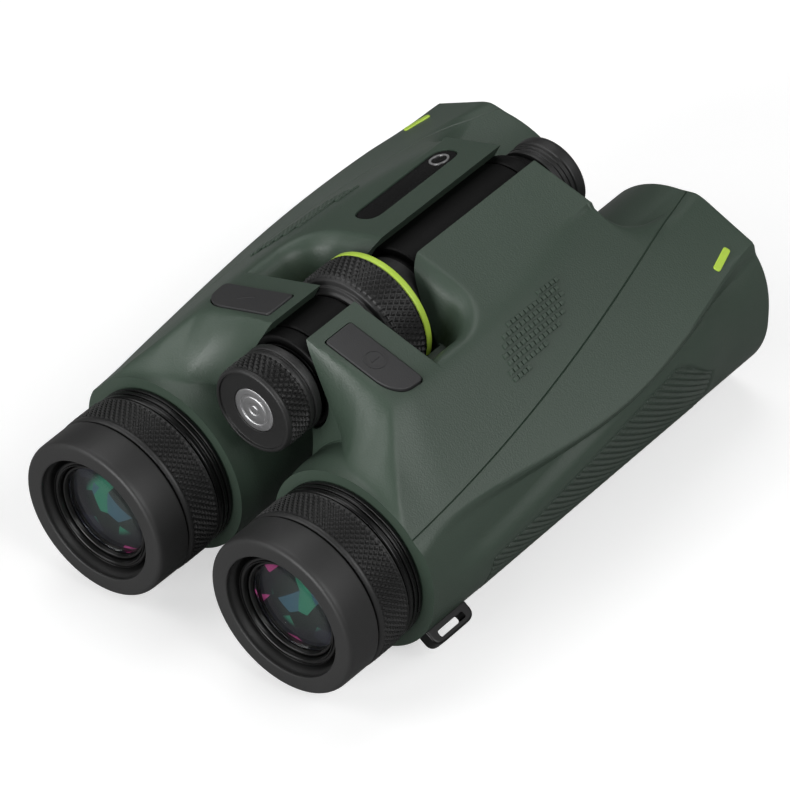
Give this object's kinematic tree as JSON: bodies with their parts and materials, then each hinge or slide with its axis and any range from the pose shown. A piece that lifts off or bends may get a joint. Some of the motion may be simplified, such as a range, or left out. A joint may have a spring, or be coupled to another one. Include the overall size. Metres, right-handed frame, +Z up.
{
  "type": "laser rangefinder binocular",
  "caption": "Roof-prism binocular with a built-in laser rangefinder: armoured barrels folding on a hinge that holds the battery, focus wheel, press buttons, twist eyecups.",
  "frame": {"origin": "on the surface that the binocular lies on, under the middle of its box", "axes": "+Y from the eyecups to the objectives, +X to the user's right, +Z up, out of the button side"},
  "size_m": [0.1156, 0.1606, 0.0725],
  "materials": {
    "armour": "dark green moulded armour with a fine satin grain",
    "grip": "dark green armour with fine diagonal ribs",
    "rubber": "black rubber, knurled where it is turned by hand",
    "black_plastic": "black satin plastic",
    "button": "charcoal satin key with a raised symbol",
    "lime": "bright yellow-green plastic",
    "bright_metal": "bright brushed metal",
    "dark_metal": "black anodised metal",
    "brass": "plain brass",
    "coated_glass": "clear glass with a green and magenta coating",
    "board": "green circuit board"
  },
  "bodies": {
    "left_half": {"left_body": "armour", "left_grip_panel": "grip", "left_base_ring": "black_plastic", "left_eyepiece_tube": "black_plastic", "left_objective_lens": "coated_glass", "left_objective_ring": "dark_metal", "left_prism_block": "coated_glass", "left_strap_lug": "black_plastic", "left_lime_mark": "lime", "left_switch": "black_plastic", "hinge_tube": "black_plastic", "left_rear_collar": "black_plastic", "left_front_collar": "black_plastic", "battery": "bright_metal", "battery_contact": "brass", "tripod_bush": "brass", "badge_plate": "black_plastic", "circuit_board": "board", "laser_receiver": "dark_metal"},
    "right_half": {"right_body": "armour", "right_grip_panel": "grip", "right_base_ring": "black_plastic", "right_eyepiece_tube": "black_plastic", "right_objective_lens": "coated_glass", "right_objective_ring": "dark_metal", "right_prism_block": "coated_glass", "right_strap_lug": "black_plastic", "right_lime_mark": "lime", "right_switch": "black_plastic", "right_rear_collar": "black_plastic", "right_front_collar": "black_plastic", "laser_emitter": "dark_metal", "display_module": "black_plastic"},
    "focus_wheel": {"focus_wheel": "rubber", "focus_wheel_ring": "lime"},
    "battery_cap_travel": {"battery_cap_seal": "rubber"},
    "battery_cap": {"battery_cap": "rubber", "battery_cap_emblem": "bright_metal"},
    "front_cap_travel": {"front_cap_seal": "rubber"},
    "front_cap": {"front_cap": "rubber"},
    "measure_button": {"measure_button": "button"},
    "mode_button": {"mode_button": "button"},
    "left_focus_cell": {"left_focus_cell": "dark_metal", "left_focus_lens": "coated_glass"},
    "left_eyecup_travel": {"left_eyecup_key_ring": "dark_metal"},
    "left_eyecup": {"left_eyecup": "rubber"},
    "left_dioptre_ring": {"left_dioptre_ring": "rubber"},
    "left_ocular": {"left_ocular_cell": "dark_metal", "left_eye_lens": "coated_glass"},
    "right_focus_cell": {"right_focus_cell": "dark_metal", "right_focus_lens": "coated_glass"},
    "right_eyecup_travel": {"right_eyecup_key_ring": "dark_metal"},
    "right_eyecup": {"right_eyecup": "rubber"},
    "right_dioptre_ring": {"right_dioptre_ring": "rubber"},
    "right_ocular": {"right_ocular_cell": "dark_metal", "right_eye_lens": "coated_glass"}
  },
  "joints": [
    {"name": "hinge_fold", "type": "hinge", "parent": "left_half", "child": "right_half", "pos_m": [0, 0, 0.0552], "axis": [0, -1, 0], "range_deg": [-7, 31]},
    {"name": "focus_turn", "type": "hinge", "parent": "left_half", "child": "focus_wheel", "pos_m": [0, -0.01235, 0.0552], "axis": [0, 1, 0], "range_deg": [-225, 225]},
    {"name": "left_focus_travel", "type": "slide", "parent": "left_half", "child": "left_focus_cell", "axis": [0, 1, 0], "range_m": [-0.002, 0.002]},
    {"name": "left_eyecup_travel", "type": "slide", "parent": "left_half", "child": "left_eyecup_travel", "axis": [0, -1, 0], "range_m": [0, 0.008]},
    {"name": "left_eyecup_twist", "type": "hinge", "parent": "left_eyecup_travel", "child": "left_eyecup", "pos_m": [-0.03, -0.06535, 0.0249], "axis": [0, -1, 0], "range_deg": [0, 150]},
    {"name": "left_dioptre_turn", "type": "hinge", "parent": "left_half", "child": "left_dioptre_ring", "pos_m": [-0.03, -0.06535, 0.0249], "axis": [0, -1, 0], "range_deg": [-45, 45]},
    {"name": "left_ocular_travel", "type": "slide", "parent": "left_half", "child": "left_ocular", "axis": [0, -1, 0], "range_m": [-0.0016, 0.0016]},
    {"name": "right_focus_travel", "type": "slide", "parent": "right_half", "child": "right_focus_cell", "axis": [0, 1, 0], "range_m": [-0.002, 0.002]},
    {"name": "right_eyecup_travel", "type": "slide", "parent": "right_half", "child": "right_eyecup_travel", "axis": [0, -1, 0], "range_m": [0, 0.008]},
    {"name": "right_eyecup_twist", "type": "hinge", "parent": "right_eyecup_travel", "child": "right_eyecup", "pos_m": [0.03, -0.06535, 0.0249], "axis": [0, -1, 0], "range_deg": [0, 150]},
    {"name": "right_dioptre_turn", "type": "hinge", "parent": "right_half", "child": "right_dioptre_ring", "pos_m": [0.03, -0.06535, 0.0249], "axis": [0, -1, 0], "range_deg": [-45, 45]},
    {"name": "right_ocular_travel", "type": "slide", "parent": "right_half", "child": "right_ocular", "axis": [0, -1, 0], "range_m": [-0.0016, 0.0016]},
    {"name": "battery_cap_travel", "type": "slide", "parent": "left_half", "child": "battery_cap_travel", "axis": [0, -1, 0], "range_m": [0, 0.003]},
    {"name": "battery_cap_turn", "type": "hinge", "parent": "battery_cap_travel", "child": "battery_cap", "pos_m": [0, -0.04535, 0.0552], "axis": [0, -1, 0], "range_deg": [0, 720]},
    {"name": "front_cap_travel", "type": "slide", "parent": "left_half", "child": "front_cap_travel", "axis": [0, 1, 0], "range_m": [0, 0.003]},
    {"name": "front_cap_turn", "type": "hinge", "parent": "front_cap_travel", "child": "front_cap", "pos_m": [0, 0.05865, 0.0552], "axis": [0, 1, 0], "range_deg": [0, 720]},
    {"name": "measure_button_press", "type": "slide", "parent": "right_half", "child": "measure_button", "axis": [-0.284, 0, -0.9588], "range_m": [0, 0.0008], "stiffness_N_per_m": 1500},
    {"name": "mode_button_press", "type": "slide", "parent": "left_half", "child": "mode_button", "axis": [0.284, 0, -0.9588], "range_m": [0, 0.0008], "stiffness_N_per_m": 1500}
  ],
  "couplings": [
    {"joint": "left_focus_travel", "follows": "focus_turn", "m_per_rad": 0.0005},
    {"joint": "left_eyecup_travel", "follows": "left_eyecup_twist", "m_per_rad": 0.003},
    {"joint": "left_ocular_travel", "follows": "left_dioptre_turn", "m_per_rad": 0.0019},
    {"joint": "right_focus_travel", "follows": "focus_turn", "m_per_rad": 0.0005},
    {"joint": "right_eyecup_travel", "follows": "right_eyecup_twist", "m_per_rad": 0.003},
    {"joint": "right_ocular_travel", "follows": "right_dioptre_turn", "m_per_rad": 0.0019},
    {"joint": "battery_cap_turn", "follows": "battery_cap_travel", "rad_per_m": 4188},
    {"joint": "front_cap_turn", "follows": "front_cap_travel", "rad_per_m": 4188}
  ]
}
